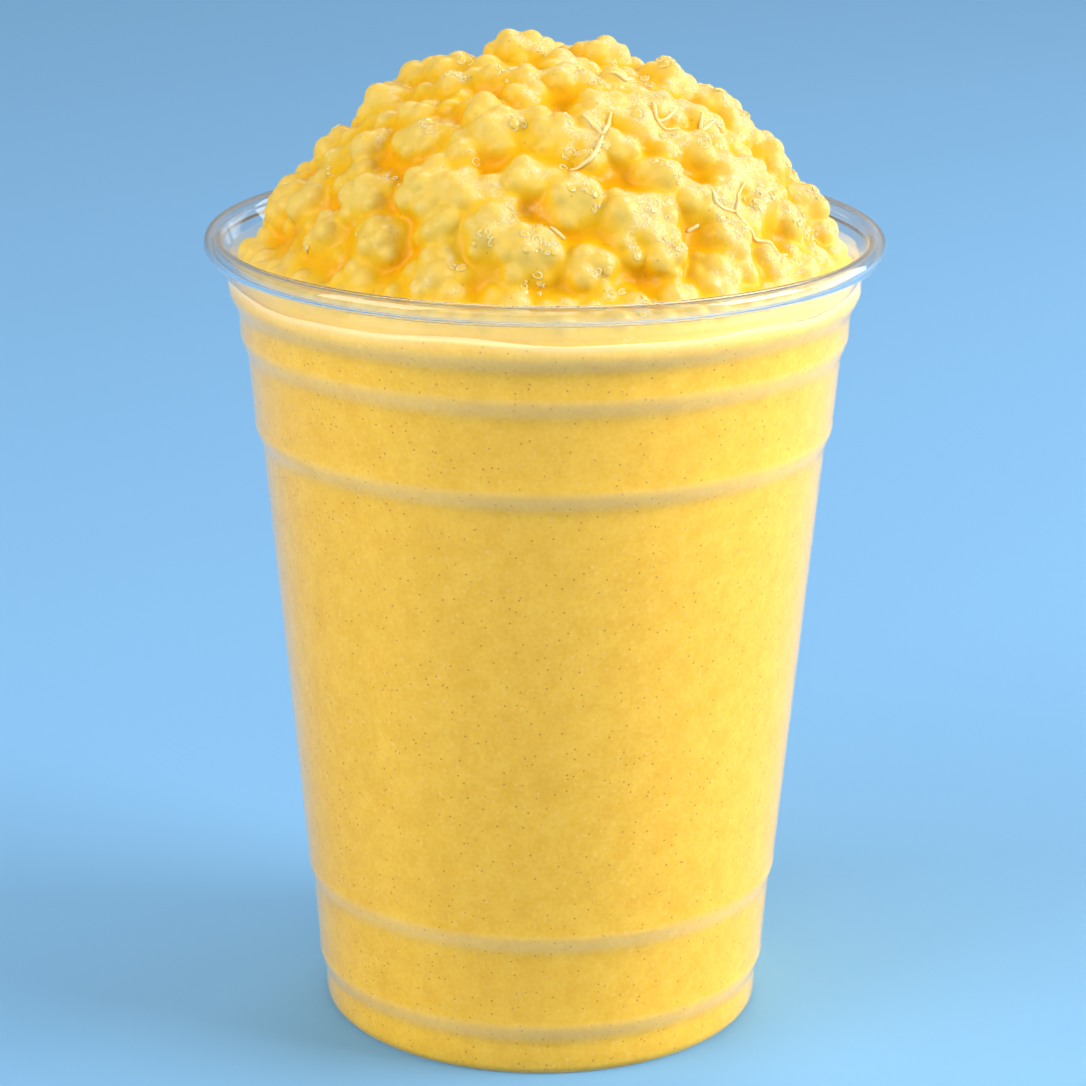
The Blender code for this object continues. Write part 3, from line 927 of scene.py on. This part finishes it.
cap_points, cap_faces = ball_template(2)
cap_copies = []
ring_copies = []
for _ in range(PATCHES):
    middle, normal = gathered_place(rng, weighted_lobes)
    patch_across, patch_along = frame_on(normal, rng)
    patch_radius = rng.uniform(*PATCH_RADIUS)
    taken = []
    for _ in range(PATCH_TRIES):
        largeness = rng.random() ** BUBBLE_SMALLNESS
        size = BUBBLE_RADIUS[0] + (BUBBLE_RADIUS[1] - BUBBLE_RADIUS[0]) * largeness
        turn = rng.uniform(0, 2 * math.pi)
        reach = patch_radius * math.sqrt(rng.random())
        spot = (reach * math.cos(turn), reach * math.sin(turn))
        if any(math.dist(spot, other) < BUBBLE_OVERLAP * (size + own) for other, own in taken):
            continue
        taken.append((spot, size))
        point = middle + patch_across * spot[0] + patch_along * spot[1]
        place, normal, _, _ = heap_surface.find_nearest(point)
        if place.z < NODULE_LEVEL:
            continue
        across, along = frame_on(normal, rng)
        if rng.random() < CAP_SHARE:
            spread = np.array([list(across), list(along), [c * CAP_FLATNESS for c in normal]]) * size
            cap_copies.append((cap_points @ spread + list(place), cap_faces))
        if rng.random() > RING_SHARE:
            continue
        thickness = rng.uniform(*RING_THICKNESS)
        arc = 2 * math.pi * min(1.0, rng.uniform(*RING_ARC))
        squash = rng.uniform(*RING_SQUASH)
        phase = rng.uniform(0, 2 * math.pi)
        centres, sizes = [], []
        for step in range(RING_POINTS):
            turn = arc * step / (RING_POINTS - 1)
            wobble = math.sin(2 * turn + phase) + math.sin(3 * turn) / 2
            reach = size * (1 + RING_WOBBLE * wobble)
            point = place + (across * math.cos(turn) + along * (squash * math.sin(turn))) * reach
            centres.append(on_heap(point, RING_LIFT * thickness))
            fullness = math.sin(math.pi * (step + 0.5) / RING_POINTS) ** 0.6
            sizes.append(thickness * (RING_END + (1 - RING_END) * fullness))
        ring_copies.append(tube(centres, sizes, RING_SIDES))

strand_copies = []
for strand in STRANDS:
    corners = [dome_middle + Vector(direction(*corner)) * DOME_RADIUS for corner in strand]
    walk = []
    for before, after in zip(corners, corners[1:]):
        steps = max(2, round((after - before).length / STRAND_STEP))
        walk.extend(before.lerp(after, step / steps) for step in range(steps))
    walk.append(corners[-1])
    centres = []
    for point in eased_line(walk, WALK_ROUNDS):
        way = (point - dome_middle).normalized()
        place, normal, _, _ = heap_surface.ray_cast(dome_middle + way * (DOME_RADIUS + RAY_MARGIN), -way)
        centres.append(place + normal * STRAND_LIFT)
    centres = eased_line(centres, LAID_ROUNDS)
    sizes = []
    for index in range(len(centres)):
        fullness = math.sin(math.pi * (index + 0.5) / len(centres)) ** 0.5
        width = STRAND_THICKNESS * (STRAND_END + (1 - STRAND_END) * fullness)
        sizes.append(width * rng.uniform(*STRAND_UNEVENNESS))
    strand_copies.append(tube(centres, sizes, STRAND_SIDES))

# Melt stretched over air: wet and very smooth, so that each bubble holds a small bright image of
# the light. The burst edges and the strands are thicker and paler, full of finer air.
bubble_skin = new_material("wet_mango_bubble_skin")
bubble_shader = add_node(
    bubble_skin, "ShaderNodeBsdfPrincipled",
    {
        "Base Color": linear("#ecc45c"), "Roughness": 0.15, "IOR": 1.36, "Specular IOR Level": 0.5,
        "Subsurface Weight": 0.3, "Subsurface Radius": (1.0, 0.75, 0.35), "Subsurface Scale": 0.5 * MM,
        "Coat Weight": 0.8, "Coat Roughness": 0.06, "Coat IOR": 1.4,
    },
)
add_node(bubble_skin, "ShaderNodeOutputMaterial", None, {"Surface": bubble_shader.outputs["BSDF"]})
airy_melt = new_material("airy_mango_melt")
melt_place = add_node(airy_melt, "ShaderNodeTexCoord")
melt_cloud = add_node(
    airy_melt, "ShaderNodeTexNoise", {"Scale": 1 / (3 * MM), "Detail": 2.0},
    {"Vector": melt_place.outputs["Object"]},
)
melt_colour = add_node(
    airy_melt, "ShaderNodeMix", {"data_type": "RGBA", 6: linear("#f0d080"), 7: linear("#f4e0a6")},
    {0: melt_cloud.outputs["Fac"]},
)
melt_shader = add_node(
    airy_melt, "ShaderNodeBsdfPrincipled",
    {
        "Roughness": 0.3, "IOR": 1.36, "Subsurface Weight": 0.3,
        "Subsurface Radius": (1.0, 0.75, 0.35), "Subsurface Scale": 0.5 * MM,
        "Coat Weight": 0.5, "Coat Roughness": 0.1, "Coat IOR": 1.33,
    },
    {"Base Color": melt_colour.outputs[2]},
)
add_node(airy_melt, "ShaderNodeOutputMaterial", None, {"Surface": melt_shader.outputs["BSDF"]})
for name, copies, material in (
    ("heap_bubbles", cap_copies, bubble_skin), ("heap_bubble_rings", ring_copies, airy_melt),
    ("heap_strands", strand_copies, airy_melt),
):
    detail = bpy.data.objects.new(name, joined_mesh(name, copies))
    bpy.context.scene.collection.objects.link(detail)
    detail.data.materials.append(material)
    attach(detail, "root")
    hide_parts("smoothie")

# The studio
# A seamless pale blue floor. The main soft panel stands low at the right with a weaker one behind
# it, another lights the floor at the back, two weak ones fill in from the left and the front, and
# a pale sky the rest. The camera stands where the photo's did, found from the rings of the cup.
FLOOR_SIZE = 6.0
CUP_MIDDLE = (0.0, 0.0, 80 * MM)
CAMERA_DISTANCE = 504.2 * MM
CAMERA_HEIGHT = 229.7 * MM
CAMERA_PITCH = 17.485
CAMERA_ROLL = 0.367
FOCAL_PIXELS = 3575.0
FRAME_PIXELS = 1086
SENSOR = 36.0

floor_mesh = bpy.data.meshes.new("floor")
half = FLOOR_SIZE / 2
floor_corners = [(-half, -half, 0), (half, -half, 0), (half, half, 0), (-half, half, 0)]
floor_mesh.from_pydata(floor_corners, [], [(0, 1, 2, 3)])
floor = bpy.data.objects.new("floor", floor_mesh)
bpy.context.scene.collection.objects.link(floor)
floor_paint = new_material("matt_pale_blue_backdrop")
floor_shader = add_node(
    floor_paint, "ShaderNodeBsdfPrincipled",
    {"Base Color": linear("#7ab0e0"), "Roughness": 0.8, "Specular IOR Level": 0.2},
)
add_node(floor_paint, "ShaderNodeOutputMaterial", None, {"Surface": floor_shader.outputs["BSDF"]})
floor.data.materials.append(floor_paint)


def panel(name, place, target, width, height, power):
    """A soft warm white light of a width and height at a place, turned to face the target."""
    light = bpy.data.lights.new(name, "AREA")
    light.shape = "RECTANGLE"
    light.size = width
    light.size_y = height
    light.energy = power
    light.color = linear("#fffdf8")[:3]
    lamp = bpy.data.objects.new(name, light)
    lamp.visible_transmission = False
    lamp.location = place
    lamp.rotation_euler = (Vector(target) - Vector(place)).to_track_quat("-Z", "Y").to_euler()
    bpy.context.scene.collection.objects.link(lamp)


panel("key_panel", (0.910, -0.177, 0.573), CUP_MIDDLE, 0.6, 0.5, 11.6)
panel("side_panel", (0.931, 0.434, 0.298), CUP_MIDDLE, 0.6, 0.6, 4.4)
panel("back_panel", (0.3, 1.9, 2.0), (0.0, 1.4, 0.1), 1.6, 1.2, 22.0)
panel("fill_panel", (-0.803, -0.464, 0.573), CUP_MIDDLE, 0.7, 0.7, 7.7)
panel("front_panel", (-0.223, -0.831, 0.682), CUP_MIDDLE, 0.7, 0.7, 2.2)

sky = bpy.data.worlds.new("studio")
sky.use_nodes = True
sky.node_tree.nodes["Background"].inputs["Color"].default_value = linear("#fbfaf5")
sky.node_tree.nodes["Background"].inputs["Strength"].default_value = 0.3
bpy.context.scene.world = sky
bpy.context.scene.view_settings.view_transform = "Standard"

lens = bpy.data.cameras.new("camera")
lens.sensor_width = SENSOR
lens.lens = FOCAL_PIXELS / FRAME_PIXELS * SENSOR
camera = bpy.data.objects.new("camera", lens)
camera.matrix_world = (
    Matrix.Translation((0, -CAMERA_DISTANCE, CAMERA_HEIGHT))
    @ Matrix.Rotation(math.radians(90 - CAMERA_PITCH), 4, "X")
    @ Matrix.Rotation(math.radians(CAMERA_ROLL), 4, "Z")
)
bpy.context.scene.collection.objects.link(camera)
bpy.context.scene.camera = camera
